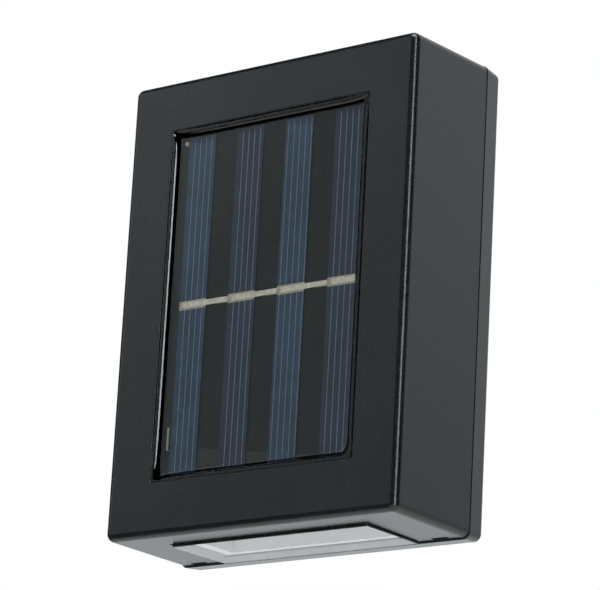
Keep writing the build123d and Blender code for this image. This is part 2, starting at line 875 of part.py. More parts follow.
def driver_chip():
    x = component_offset
    height = control_bottom + chip_rise
    back = control_front - chip_stand
    chip = block((x - chip_width / 2, x + chip_width / 2), (back - chip_thickness, back),
                 (height - chip_height / 2, height + chip_height / 2))
    for index in range(chip_leg_count):
        leg_x = x + (index - (chip_leg_count - 1) / 2) * chip_leg_pitch
        chip += block((leg_x - chip_leg / 2, leg_x + chip_leg / 2), (back - weld, control_front),
                      (height - chip_leg / 2, height + chip_leg / 2))
    return chip


def boost_inductor():
    x = component_offset
    height = control_top - inductor_drop
    depth = control_front - inductor_stand - inductor_radius
    ends = (x - inductor_length / 2, x + inductor_length / 2)
    body = rod("x", inductor_radius, *ends, depth, height)
    body = fillet(body.edges().filter_by(GeomType.CIRCLE), inductor_edge_radius)
    reach = (ends[0] - inductor_wire_reach, ends[1] + inductor_wire_reach)
    body += rod("x", inductor_wire_radius, *reach, depth, height)
    for end in reach:
        body += Pos(end, y_at(depth), z_at(height)) * Sphere(inductor_wire_radius)
        body += rod("depth", inductor_wire_radius, depth, control_front, end, height)
    return body


def switch_frame():
    half_x = switch_length / 2
    half_h = switch_breadth / 2
    front = control_back + switch_base_depth
    frame = block((-half_x, half_x), (front, switch_back), (control_middle - half_h, control_middle + half_h))
    frame = fillet(frame.edges().filter_by(Axis.Y), switch_shell)
    wall = switch_shell
    frame -= block((-half_x + wall, half_x - wall), (front - through, switch_back - wall),
                   (control_middle - half_h + wall, control_middle + half_h - wall))
    slot_x = (switch_travel + lever_size) / 2 + lever_fit
    slot_h = lever_size / 2 + lever_fit
    return frame - block((-slot_x, slot_x), (switch_back - through, switch_back + through),
                         (control_middle - slot_h, control_middle + slot_h))


def switch_base():
    half_x = switch_length / 2
    half_h = switch_breadth / 2
    return block((-half_x, half_x), (control_back, control_back + switch_base_depth),
                 (control_middle - half_h, control_middle + half_h))


def switch_pins():
    half = pin_size / 2
    return [block((x - half, x + half), (control_back - pin_reach, control_back),
                  (control_middle - half, control_middle + half)) for x in pin_places()]


def switch_lever():
    half = lever_size / 2
    carriage_front = switch_back - switch_shell - lever_fit - carriage_depth
    x = lever_rest
    carriage = block((x - carriage_length / 2, x + carriage_length / 2),
                     (carriage_front, carriage_front + carriage_depth),
                     (control_middle - carriage_breadth / 2, control_middle + carriage_breadth / 2))
    foot = block((x - half, x + half), (wiper_back() + embed_gap, carriage_front),
                 (control_middle - half, control_middle + half))
    end = recess_floor_depth + lever_reach
    stem = block((x - half, x + half), (carriage_front, end), (control_middle - half, control_middle + half))
    stem = fillet(edges_at_depth(stem, end), lever_edge_radius)
    return carriage + foot + stem


def wiper_back():
    """Depth of the side of the wiper that the lever presses on."""
    return control_back + switch_base_depth + wiper_gap + dimple_height + wiper_thickness


def switch_wiper():
    """Copper bridge under the lever, with two dimples that slide on the terminals in the base."""
    back = wiper_back()
    front = back - wiper_thickness
    x = lever_rest
    wiper = block((x - wiper_length / 2, x + wiper_length / 2), (front, back),
                  (control_middle - wiper_breadth / 2, control_middle + wiper_breadth / 2))
    for side in (-1, 1):
        wiper += rod("depth", dimple_radius, front - dimple_height, front, x + side * pin_pitch / 2,
                     control_middle)
    return wiper


# ---------------------------------------------------------------- leads inside the housing
def led_lead(x, rise):
    """From the top of the light board, up in front of the battery and back to the control board."""
    depth = battery_front - led_lead_gap
    height = control_bottom + rise
    return [(x, depth, led_board_top), (x, depth, height), (x, control_front, height)], [led_lead_bend]


def battery_lead(side, rise):
    """From the tab of a battery contact, up and in to the control board."""
    front = battery_depth - contact_width / 2 + contact_tab_width / 2
    top = battery_height + contact_width / 2 + contact_tab_height
    x = side * (contact_span - contact_thickness / 2)
    landing = side * battery_lead_landing
    height = control_bottom + rise
    points = [(x, front, top), (x, front, height), (landing, front, height), (landing, control_front, height)]
    return points, [battery_lead_bend, battery_landing_bend]


def panel_lead(start, depth, rise, landing, radii):
    """From a hole in the board of the panel, back, along it and across to the control board."""
    height = control_bottom + rise
    points = [(-lead_column, window_depth, start), (-lead_column, depth, start), (-lead_column, depth, height),
              (-landing, depth, height), (-landing, control_front, height)]
    return points, radii


def leads():
    """Every insulated lead by name: its corner points and its arc radii."""
    return {
        "led_lead_positive": led_lead(-led_positive_offset, led_positive_rise),
        "led_lead_negative": led_lead(-led_negative_offset, led_negative_rise),
        "battery_lead_positive": battery_lead(1, battery_positive_rise),
        "battery_lead_negative": battery_lead(-1, battery_negative_rise),
        "panel_lead_positive": panel_lead(upper_lead, panel_positive_depth, panel_positive_rise,
                                          panel_positive_landing,
                                          [panel_positive_bend, panel_positive_turn, panel_positive_drop]),
        "panel_lead_negative": panel_lead(lower_lead, panel_negative_depth, panel_negative_rise,
                                          panel_negative_landing,
                                          [panel_negative_bend, panel_negative_turn, panel_negative_drop]),
    }


# ---------------------------------------------------------------- write every piece
def pieces():
    """Every piece by node name; a list is a group of separate solids in one node."""
    made = {
        "front_shell": front_shell(),
        "rear_cover": rear_cover(),
        "cover_seal": cover_seal(),
        "cover_screws": cover_screws(),
        "panel_board": panel_board(),
        "cell_busbars": cell_busbars(),
        "panel_lead_tips": panel_lead_tips(),
        "epoxy_fill": epoxy_fill(),
        "bottom_lens": bottom_lens(),
        "reflector": reflector(),
        "led_board": led_board(),
        "battery_can": battery_can(),
        "battery_sleeve": battery_sleeve(),
        "battery_spring": battery_spring(),
        "negative_contact": contact_plate(-1),
        "positive_contact": positive_contact(),
        "control_board": control_board(),
        "board_screws": board_screws(),
        "driver_chip": driver_chip(),
        "boost_inductor": boost_inductor(),
        "switch_frame": switch_frame(),
        "switch_base": switch_base(),
        "switch_pins": switch_pins(),
        "switch_lever": switch_lever(),
        "switch_wiper": switch_wiper(),
    }
    for index in range(cell_count):
        made[f"solar_cell_{index + 1}"] = solar_cell(index)
        made[f"tab_ribbon_{index + 1}"] = tab_ribbon(index)
    for index in range(led_count):
        made[f"led_package_{index + 1}"] = led_package(index)
        made[f"led_phosphor_{index + 1}"] = led_phosphor(index)
    for name, (points, radii) in leads().items():
        made[name] = lead(points, radii)
        print(name, "arc radii", radii)
    return made


def main():
    os.makedirs("parts", exist_ok=True)
    for name, shape in pieces().items():
        if isinstance(shape, list):
            shape = Compound(children=shape)
        export_step(shape, f"parts/{name}.step")


main()
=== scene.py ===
"""Finishes, resin, lens light and studio for the solar fence light.

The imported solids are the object. This file gives each of them its finish and adds what is drawn rather than
built: the silver fingers on the cells, the ribbon between them, the surface of the poured resin and the words
at the switch. It also sets up the studio and the camera. Everything is in metres: +X right, +Y into the wall,
+Z up.
"""
import math
from collections import namedtuple

import bmesh
import bpy
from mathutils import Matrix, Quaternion, Vector


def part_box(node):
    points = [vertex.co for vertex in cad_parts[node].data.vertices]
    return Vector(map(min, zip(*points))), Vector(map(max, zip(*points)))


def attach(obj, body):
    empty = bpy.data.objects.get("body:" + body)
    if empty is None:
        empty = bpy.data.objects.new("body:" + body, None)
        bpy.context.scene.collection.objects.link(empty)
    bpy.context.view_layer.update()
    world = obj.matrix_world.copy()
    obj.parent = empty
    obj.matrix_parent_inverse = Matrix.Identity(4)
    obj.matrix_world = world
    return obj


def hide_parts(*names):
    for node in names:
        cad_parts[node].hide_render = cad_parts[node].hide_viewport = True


bl_info = {
    "name": "Solar fence light",
    "version": (1, 0, 0),
    "blender": (4, 5, 0),
    "location": "3D View > Sidebar > Fence light",
    "description": "Finishes, resin, cell fingers, switch lettering and studio for a solar fence light",
    "category": "Object",
}

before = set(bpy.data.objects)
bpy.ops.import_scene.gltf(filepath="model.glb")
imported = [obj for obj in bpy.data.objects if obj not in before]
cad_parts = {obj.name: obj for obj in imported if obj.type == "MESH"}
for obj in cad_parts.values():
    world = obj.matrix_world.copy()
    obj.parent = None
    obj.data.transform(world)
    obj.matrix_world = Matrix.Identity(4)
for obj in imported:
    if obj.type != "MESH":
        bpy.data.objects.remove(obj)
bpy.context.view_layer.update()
MM = 0.001
HOUSING = "housing"
WHITE = (1.0, 1.0, 1.0)


# ---------------------------------------------------------------- shader expressions
class Signal:
    """One output of a shader node. Arithmetic on it adds the Math nodes that work it out."""

    def __init__(self, surface, socket):
        self.surface = surface
        self.socket = socket

    def maths(self, operation, *terms):
        return self.surface.add("ShaderNodeMath", {"operation": operation}, dict(enumerate(terms)))

    def __add__(self, other):
        return self.maths("ADD", self, other)

    def __radd__(self, other):
        return self.maths("ADD", other, self)

    def __sub__(self, other):
        return self.maths("SUBTRACT", self, other)

    def __mul__(self, other):
        return self.maths("MULTIPLY", self, other)

    def __gt__(self, other):
        return self.maths("GREATER_THAN", self, other)

    def __lt__(self, other):
        return self.maths("LESS_THAN", self, other)

    def swing(self, amount):
        """A noise moved from around 0.5 to around 0, times the amount."""
        return (self - 0.5) * amount

    def rise(self, low, high):
        """0 below low, 1 above high and smooth between them."""
        settings = {"interpolation_type": "SMOOTHSTEP"}
        limits = {1: low, 2: high, 3: 0.0, 4: 1.0}
        return self.surface.add("ShaderNodeMapRange", settings, {"Value": self, **limits})


class Surface:
    """A material, or the world, whose nodes are added from Python expressions."""

    def __init__(self, name, world=False):
        self.owner = (bpy.data.worlds if world else bpy.data.materials).new(name)
        self.owner.use_nodes = True
        self.tree = self.owner.node_tree
        self.tree.nodes.clear()
        self.output = self.tree.nodes.new("ShaderNodeOutputWorld" if world else "ShaderNodeOutputMaterial")

    def add(self, kind, settings=None, values=None, give=0):
        """Add a node, apply its settings, fill its sockets with values or links; give picks the output."""
        node = self.tree.nodes.new(kind)
        for name, value in (settings or {}).items():
            setattr(node, name, value)
        for key, value in (values or {}).items():
            socket = node.inputs[key]
            if isinstance(value, Signal):
                self.tree.links.new(value.socket, socket)
            elif hasattr(socket.default_value, "__len__") and len(value) < len(socket.default_value):
                socket.default_value = (*value, 1.0)
            else:
                socket.default_value = value
        return Signal(self, node.outputs[give])

    def place(self):
        """Coordinates in the object's own frame, in metres."""
        return self.add("ShaderNodeTexCoord", give="Object")

    def axes(self, place):
        """The X, Y and Z of a place as three numbers."""
        split = self.add("ShaderNodeSeparateXYZ", values={0: place})
        return [Signal(self, output) for output in split.socket.node.outputs]

    def seen_by(self, *kinds):
        """1 for rays of these kinds, such as Glossy, and 0 for all others."""
        rays = self.add("ShaderNodeLightPath").socket.node
        answer, *others = [Signal(self, rays.outputs[f"Is {kind} Ray"]) for kind in kinds]
        for other in others:
            answer = answer.maths("MAXIMUM", answer, other)
        return answer

    def noise(self, place, size, detail=2.0, roughness=0.5):
        """Cloudy noise about 0.5 whose patches are about size metres across."""
        values = {"Vector": place, "Scale": 1.0 / size, "Detail": detail, "Roughness": roughness}
        return self.add("ShaderNodeTexNoise", values=values)

    def cells(self, place, size):
        """Irregular cells about size metres across: the distance from a middle, and each cell's number."""
        values = {"Vector": place, "Scale": 1.0 / size}
        outputs = self.add("ShaderNodeTexVoronoi", {"feature": "F1"}, values).socket.node.outputs
        number = self.add("ShaderNodeSeparateColor", values={0: Signal(self, outputs["Color"])})
        return Signal(self, outputs["Distance"]), number

    def specks(self, place, spacing, radius, share):
        """1 on small round specks that lie about spacing apart, in a share of the places."""
        distance, number = self.cells(place, spacing)
        return (distance < radius / spacing) * (number > 1.0 - share)

    def blend(self, factor, first, second):
        """Mix two colours. Inputs 6 and 7 and output 2 are the node's colour sockets."""
        settings = {"data_type": "RGBA", "blend_type": "MIX", "clamp_factor": True}
        return self.add("ShaderNodeMix", settings, {0: factor, 6: first, 7: second}, give=2)

    def mottle(self, clouds, limits, colour, shades):
        """A colour, darker where the clouds are below the limits and lighter where they are above."""
        dark, light = shades
        return self.blend(clouds.rise(*limits), shade_of(colour, dark), shade_of(colour, light))

    def bump(self, height, depth):
        """A normal from a height between 0 and 1 that stands for depth metres."""
        return self.add("ShaderNodeBump", values={"Height": height, "Strength": 1.0, "Distance": depth})

    def matt(self, colour):
        return self.add("ShaderNodeBsdfDiffuse", values={"Color": colour})

    def glow(self, colour):
        return self.add("ShaderNodeEmission", values={"Color": colour, "Strength": 1.0})

    def see_through(self, clearness):
        return self.add("ShaderNodeBsdfTransparent", values={"Color": (clearness, clearness, clearness)})

    def mix(self, factor, first, second):
        """Mix two shaders."""
        return self.add("ShaderNodeMixShader", values={0: factor, 1: first, 2: second})

    def shade(self, shader):
        """Finish with a shader and return the material or the world."""
        self.tree.links.new(shader.socket, self.output.inputs["Surface"])
        return self.owner

    def plastic(self, values):
        """Finish with one Principled shader."""
        return self.shade(self.add("ShaderNodeBsdfPrincipled", values=values))


def shade_of(colour, factor):
    """A colour made lighter or darker."""
    return tuple(channel * factor for channel in colour[:3])


# ---------------------------------------------------------------- finishes
DUST_ON_PLASTIC = (0.11, 0.115, 0.12)
DUST_ON_CLEAR = (0.10, 0.11, 0.11)


def moulded_finish(name, colour, roughness, grain, dust):
    """Moulded ABS: cloudy gloss, a fine spark-eroded grain and a little dust."""
    s = Surface(name)
    place = s.place()
    clouds = s.noise(place, 14 * MM, detail=3.0)
    fine = s.noise(place, 0.22 * MM, roughness=0.6)
    coarse = s.noise(place, 0.7 * MM, detail=1.0)
    speck = s.specks(place, spacing=4.2 * MM, radius=0.11 * MM, share=dust)
    clean = s.mottle(clouds, (0.3, 0.7), colour, (0.88, 1.12))
    rough = roughness + clouds.swing(0.05) + fine.swing(0.06) + speck * 0.3
    return s.plastic({"Base Color": s.blend(speck, clean, DUST_ON_PLASTIC), "Roughness": rough,
                      "Normal": s.bump(fine * 0.7 + coarse * 0.3, grain), "IOR": 1.5})


def plain_finish(name, colour, roughness, patch, contrast, relief, metallic=0.0):
    """A plain moulded, painted or printed surface, faintly mottled; patch and relief are in millimetres."""
    s = Surface(name)
    place = s.place()
    clouds = s.noise(place, patch * MM, detail=3.0)
    fine = s.noise(place, patch * 0.08 * MM)
    base = s.mottle(clouds, (0.25, 0.75), colour, (1 - contrast, 1 + contrast))
    rough = roughness + clouds.swing(0.12) + fine.swing(0.06)
    return s.plastic({"Base Color": base, "Roughness": rough, "Metallic": metallic,
                      "Normal": s.bump(fine, relief * MM)})


def drawn_metal(name, colour, roughness, along):
    """Rolled or drawn metal with fine lines along one axis (0, 1 or 2)."""
    s = Surface(name)
    place = s.place()
    stretch = [1.0, 1.0, 1.0]
    stretch[along] = 0.06
    drawn = s.add("ShaderNodeVectorMath", {"operation": "MULTIPLY"}, {0: place, 1: stretch})
    lines = s.noise(drawn, 0.12 * MM)
    clouds = s.noise(place, 2.5 * MM)
    base = s.mottle(clouds, (0.3, 0.7), colour, (0.9, 1.06))
    rough = roughness + lines.swing(0.25) + clouds.swing(0.1)
    return s.plastic({"Base Color": base, "Roughness": rough, "Metallic": 1.0,
                      "Normal": s.bump(lines, 0.002 * MM)})


def silicon_finish(name, colour):
    """Polycrystalline silicon: grains of a few millimetres in blues that differ a little."""
    s = Surface(name)
    place = s.place()
    number = s.cells(place, 2.4 * MM)[1]
    tone = number * 0.6 + s.noise(place, 2.0 * MM) * 0.4
    base = s.mottle(tone, (0.2, 0.8), colour, (0.86, 1.14))
    return s.plastic({"Base Color": base, "Roughness": 0.42 + tone.swing(0.2),
                      "Normal": s.bump(s.noise(place, 0.15 * MM), 0.003 * MM)})


def silver_paste_finish(name, colour):
    """Fired silver paste: a screened, slightly rough print."""
    s = Surface(name)
    place = s.place()
    weave = s.noise(place, 0.16 * MM, detail=1.0)
    spots = s.noise(place, 0.4 * MM)
    base = s.mottle(weave * 0.6 + spots * 0.4, (0.36, 0.6), colour, (0.62, 1.08))
    return s.plastic({"Base Color": base, "Roughness": 0.6 + spots.swing(0.2), "Metallic": 0.25,
                      "Normal": s.bump(weave, 0.006 * MM)})


def clear_finish(name, ior, clearness, roughness, dust):
    """A thin clear layer: it lets what is behind it through and mirrors the room at its surface."""
    s = Surface(name)
    place = s.place()
    speck = s.specks(place, spacing=5.5 * MM, radius=0.09 * MM, share=dust)
    normal = s.bump(s.noise(place, 11 * MM), 0.004 * MM)
    mirror = s.add("ShaderNodeBsdfGlossy", values={"Color": WHITE, "Roughness": roughness, "Normal": normal})
    share = s.add("ShaderNodeFresnel", values={"IOR": ior, "Normal": normal})
    film = s.mix(share, s.see_through(clearness), mirror)
    return s.shade(s.mix(speck * 0.6, film, s.matt(DUST_ON_CLEAR)))


def hidden_clear_finish(name, clearness):
    """The unseen sides of a clear piece: they only let light through."""
    s = Surface(name)
    return s.shade(s.see_through(clearness))


def caught_light_wall_finish(name):
    """The upright walls of a clear piece, painted milky white: painted light for the light that is caught
    between their faces.
    """
    s = Surface(name)
    clouds = s.noise(s.place(), 3.0 * MM)
    caught_light_tone = s.matt(s.blend(clouds.rise(0.3, 0.7), (0.74, 0.76, 0.77), (0.82, 0.84, 0.85)))
    return s.shade(s.mix(0.75, s.see_through(0.98), caught_light_tone))


# ---------------------------------------------------------------- mesh helpers
def new_piece(name, vertices, faces, materials, body=HOUSING, smooth=True):
    """A mesh piece that rides on a body, or on none."""
    mesh = bpy.data.meshes.new(name)
    mesh.from_pydata([tuple(vertex) for vertex in vertices], [], faces)
    mesh.update()
    mesh.polygons.foreach_set("use_smooth", [smooth] * len(mesh.polygons))
    piece = bpy.data.objects.new(name, mesh)
    bpy.context.scene.collection.objects.link(piece)
    for material in materials:
        mesh.materials.append(material)
    if body:
        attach(piece, body)
    return piece


def grid_faces(columns, rows):
    """The faces between the points of a grid, which are listed row by row."""
    starts = [row * columns + column for row in range(rows - 1) for column in range(columns - 1)]
    return [(first, first + 1, first + columns + 1, first + columns) for first in starts]


def bar_mesh(low, high, ease):
    """Vertices and faces of a flat bar whose front edges are eased, between two corners."""
    builder = bmesh.new()
    bmesh.ops.create_cube(builder, size=1.0)
    size = high - low
    for vertex in builder.verts:
        vertex.co = Vector(low[i] + (vertex.co[i] + 0.5) * size[i] for i in range(3))
    tolerance = 1e-9
    front = [edge for edge in builder.edges if all(abs(v.co.y - low.y) < tolerance for v in edge.verts)]
    bmesh.ops.bevel(builder, geom=front, offset=ease, segments=1, affect="EDGES")
    vertices = [vertex.co.copy() for vertex in builder.verts]
    builder.verts.index_update()
    faces = [[vertex.index for vertex in face.verts] for face in builder.faces]
    builder.free()
    return vertices, faces


def coat(node, *materials):
    """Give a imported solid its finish, or several that its faces choose from."""
    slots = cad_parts[node].data.materials
    slots.clear()
    for material in materials:
        slots.append(material)


# ---------------------------------------------------------------- settings
def colour_setting(name, description, default):
    return bpy.props.FloatVectorProperty(name=name, description=description, default=default, size=3,
                                         subtype="COLOR", min=0.0, max=1.0)


def length_setting(name, description, millimetres):
    return bpy.props.FloatProperty(name=name, description=description, default=millimetres * MM,
                                   unit="LENGTH", subtype="DISTANCE", precision=5)


def place_setting(name, description, default):
    return bpy.props.FloatVectorProperty(name=name, description=description, default=default, size=3,
                                         subtype="TRANSLATION", unit="LENGTH", precision=5)


def angle_setting(name, description, degrees):
    return bpy.props.FloatProperty(name=name, description=description, default=math.radians(degrees),
                                   unit="ROTATION", subtype="ANGLE")


def share_setting(name, description, default):
    return bpy.props.FloatProperty(name=name, description=description, default=default, min=0.0, max=1.0,
                                   subtype="FACTOR")


def power_setting(name, description, watts):
    return bpy.props.FloatProperty(name=name, description=description, default=watts, min=0.0, unit="POWER")


class HousingSettings(bpy.types.PropertyGroup):
    shell_colour: colour_setting("Shell colour", "Black ABS of the front shell", (0.0050, 0.0068, 0.0077))
    cover_colour: colour_setting("Cover colour", "Black ABS of the rear cover", (0.0200, 0.0240, 0.0255))
    roughness: share_setting("Roughness", "Roughness of the moulded plastic", 0.27)
    grain: length_setting("Grain", "Depth of the moulded grain", 0.0027)
    dust: share_setting("Dust", "Share of places that carry a speck of dust", 0.10)


class PanelSettings(bpy.types.PropertyGroup):
    blue_cell: colour_setting("Blue cells", "First and third strip", (0.026, 0.066, 0.120))
    dark_cell: colour_setting("Dark cells", "Second and fourth strip", (0.0205, 0.041, 0.076))
    board_colour: colour_setting("Board colour", "Solder mask of the boards", (0.0300, 0.0405, 0.0390))
    finger_colour: colour_setting("Finger colour", "Fired silver fingers", (0.25, 0.31, 0.37))
    paste_colour: colour_setting("Busbar colour", "Fired silver busbars", (0.58, 0.565, 0.44))
    ribbon_colour: colour_setting("Ribbon colour", "Tinned ribbon", (0.74, 0.72, 0.62))
    finger_pitch: length_setting("Finger pitch", "Distance from finger to finger", 1.25)
    finger_width: length_setting("Finger width", "Width of a finger", 0.13)
    finger_height: length_setting("Finger height", "Height of a finger above its cell", 0.015)


class ResinSettings(bpy.types.PropertyGroup):
    groove: length_setting("Groove", "Width of the groove between the rim and the resin's crest", 0.36)
    ledge: length_setting("Ledge", "Distance from the rim to where the resin drops away", 0.78)
    foot: length_setting("Foot", "Part of the groove and ledge that is missing along the lower side", 0.42)
    crest: angle_setting("Steepest tilt", "Tilt of the resin where it drops away from the rim", 48.5)
    shoulder: length_setting("Shoulder", "Width over which the resin keeps its steepest tilt", 0.09)
    brow: length_setting("Brow", "Width over which the tilt builds up", 0.06)
    dip: length_setting("Dip", "Width over which the resin levels out again", 0.66)
    horn: length_setting("Corner draw", "How far the resin is drawn out into the corners", 1.15)
    horn_width: length_setting("Corner reach", "How far from a corner that is felt", 1.6)
    round_corner: length_setting("Filled corner", "Rounding where the resin was poured thick", 1.9)
    drawn_corner: length_setting("Drawn corner", "Rounding where the last resin was drawn off", 1.5)
    sharp_corner: length_setting("Sharp corner", "Rounding of the upper corners", 0.25)
    clearness: share_setting("Clearness", "Light that the resin lets through", 0.97)
    # painted shade: the steep edges let less light through than the level resin, to stand in for the dark
    # band that refraction gives there
    edge_shade_clearness: share_setting("Edge clearness", "Light that the steep edges let through", 0.35)
    gloss: share_setting("Gloss roughness", "Roughness of the resin's surface", 0.035)


class LightSettings(bpy.types.PropertyGroup):
    reflector_colour: colour_setting("Reflector colour", "White reflector plastic", (0.80, 0.81, 0.81))
    lens_clearness: share_setting("Lens clearness", "Light that the lens lets through", 0.95)
    phosphor_colour: colour_setting("Phosphor colour", "Unlit phosphor", (0.80, 0.58, 0.12))


class ElectronicsSettings(bpy.types.PropertyGroup):
    sleeve_colour: colour_setting("Sleeve colour", "Shrunk film round the battery", (0.03, 0.20, 0.09))
    inductor_colour: colour_setting("Inductor colour", "Dipped resin of the inductor", (0.06, 0.20, 0.12))
    red_wire: colour_setting("Positive leads", "Insulation of the positive leads", (0.40, 0.02, 0.02))
    black_wire: colour_setting("Negative leads", "Insulation of the negative leads", (0.015, 0.015, 0.015))
    letter_height: length_setting("Letter height", "Height of the words at the switch", 1.9)
    letter_relief: length_setting("Letter relief", "How far the words stand out of the recess", 0.15)


class StudioSettings(bpy.types.PropertyGroup):
    camera_place: place_setting("Camera place", "Where the camera stands", (0.33461, -0.44183, -0.15646))
    camera_target: place_setting("Camera target", "The point at the middle of the picture",
                                 (-0.00022, -0.01352, 0.00204))
    camera_roll: angle_setting("Camera roll", "Turn of the camera about its own axis", 3.145)
    camera_lens: bpy.props.FloatProperty(name="Lens", description="Focal length for a 36 mm wide picture",
                                         default=197.8, unit="CAMERA")
    floor_drop: length_setting("Floor drop", "Height of the light above the floor", 620.0)
    room_radius: length_setting("Card distance", "Distance of the studio's cards", 1500.0)
    ambient: bpy.props.FloatProperty(name="Ambient", description="Strength of the soft light all round",
                                     default=0.62, min=0.0)
    key: power_setting("Key light", "Power of the large soft lamp", 20.0)
    under: power_setting("Under light", "Power of the lamp below", 4.0)


SETTINGS = {
    "fence_housing": HousingSettings,
    "fence_panel": PanelSettings,
    "fence_resin": ResinSettings,
    "fence_lamp": LightSettings,
    "fence_parts": ElectronicsSettings,
    "fence_studio": StudioSettings,
}


# ---------------------------------------------------------------- housing
class FENCE_OT_housing(bpy.types.Operator):
    """Finish the shell, the cover, the seal and the screws"""

    bl_idname = "fence.housing"
    bl_label = "Housing"

    def execute(self, context):
        settings = context.scene.fence_housing
        for node, name, colour in (("front_shell", "shell_plastic", settings.shell_colour),
                                   ("rear_cover", "cover_plastic", settings.cover_colour)):
            coat(node, moulded_finish(name, colour, settings.roughness, settings.grain, settings.dust))
        coat("cover_seal", plain_finish("seal_foam", (0.024, 0.027, 0.028), roughness=0.8, patch=0.8,
                                        contrast=0.3, relief=0.03))
        screw_metal = drawn_metal("zinc_screw", (0.55, 0.55, 0.54), roughness=0.3, along=1)
        coat("cover_screws", screw_metal)
        coat("board_screws", screw_metal)
        return {"FINISHED"}


# ---------------------------------------------------------------- solar panel
CELLS = [f"solar_cell_{number}" for number in range(1, 5)]
# how many fingers each strip shows, and how far the first lies from its left edge, in finger pitches
FINGERS = {
    "solar_cell_1": (4, 0.98),
    "solar_cell_2": (4, 1.05),
    "solar_cell_3": (5, 0.45),
    "solar_cell_4": (4, 0.90),
}
FINGER_MARGIN = 0.4 * MM            # from the end of a finger to the end of its strip
BRIDGE_LIFT = 0.012 * MM            # how far the bridge between two strips stands out of the ribbon


class FENCE_OT_panel(bpy.types.Operator):
    """Finish the cells, busbars, ribbons and boards, and print the silver fingers on each cell"""

    bl_idname = "fence.panel"
    bl_label = "Solar panel"

    def execute(self, context):
        settings = context.scene.fence_panel
        for number, node in enumerate(CELLS):
            colour = settings.dark_cell if number % 2 else settings.blue_cell
            coat(node, silicon_finish(f"silicon_{number + 1}", colour))
        coat("cell_busbars", silver_paste_finish("busbar_silver", settings.paste_colour))
        ribbon = plain_finish("tinned_ribbon", settings.ribbon_colour, roughness=0.42, patch=0.7,
                              contrast=0.16, relief=0.02, metallic=0.1)
        for number in range(1, 5):
            coat(f"tab_ribbon_{number}", ribbon)
        coat("panel_lead_tips", plain_finish("tinned_tip", (0.90, 0.89, 0.82), roughness=0.35, patch=0.4,
                                             contrast=0.1, relief=0.01, metallic=0.4))
        mask = plain_finish("board_mask", settings.board_colour, roughness=0.5, patch=6.0,
                            contrast=0.1, relief=0.002)
        coat("panel_board", mask)
        coat("control_board", mask)
        silver = plain_finish("finger_silver", settings.finger_colour, roughness=0.5, patch=0.5,
                              contrast=0.2, relief=0.004, metallic=0.2)
        for node, (count, start) in FINGERS.items():
            self.print_fingers(settings, node, count, start, silver)
        for number in range(1, 4):
            self.bridge_ribbons(number, ribbon)
        return {"FINISHED"}

    def bridge_ribbons(self, number, finish):
        """Solder over the step of a ribbon between two strips, so that it looks like one straight band."""
        low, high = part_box(f"tab_ribbon_{number}")
        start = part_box(f"solar_cell_{number}")[1].x
        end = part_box(f"solar_cell_{number + 1}")[0].x
        bar_low = Vector((start, low.y - BRIDGE_LIFT, low.z))
        bar_high = Vector((end, low.y + BRIDGE_LIFT, high.z))
        vertices, faces = bar_mesh(bar_low, bar_high, BRIDGE_LIFT * 0.5)
        piece = new_piece(f"ribbon_bridge_{number}", vertices, faces, [finish], smooth=False)

    def print_fingers(self, settings, node, count, start, silver):
        """The fingers of one strip, as one piece."""
        low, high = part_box(node)
        half = settings.finger_width / 2
        vertices, faces = [], []
        for index in range(count):
            x = low.x + (start + index) * settings.finger_pitch
            bar_low = Vector((x - half, low.y - settings.finger_height, low.z + FINGER_MARGIN))
            bar_high = Vector((x + half, low.y, high.z - FINGER_MARGIN))
            bar_vertices, bar_faces = bar_mesh(bar_low, bar_high, settings.finger_height * 0.6)
            offset = len(vertices)
            vertices += bar_vertices
            faces += [[corner + offset for corner in face] for face in bar_faces]
        name = node.replace("solar_cell", "cell_fingers")
        piece = new_piece(name, vertices, faces, [silver], smooth=False)


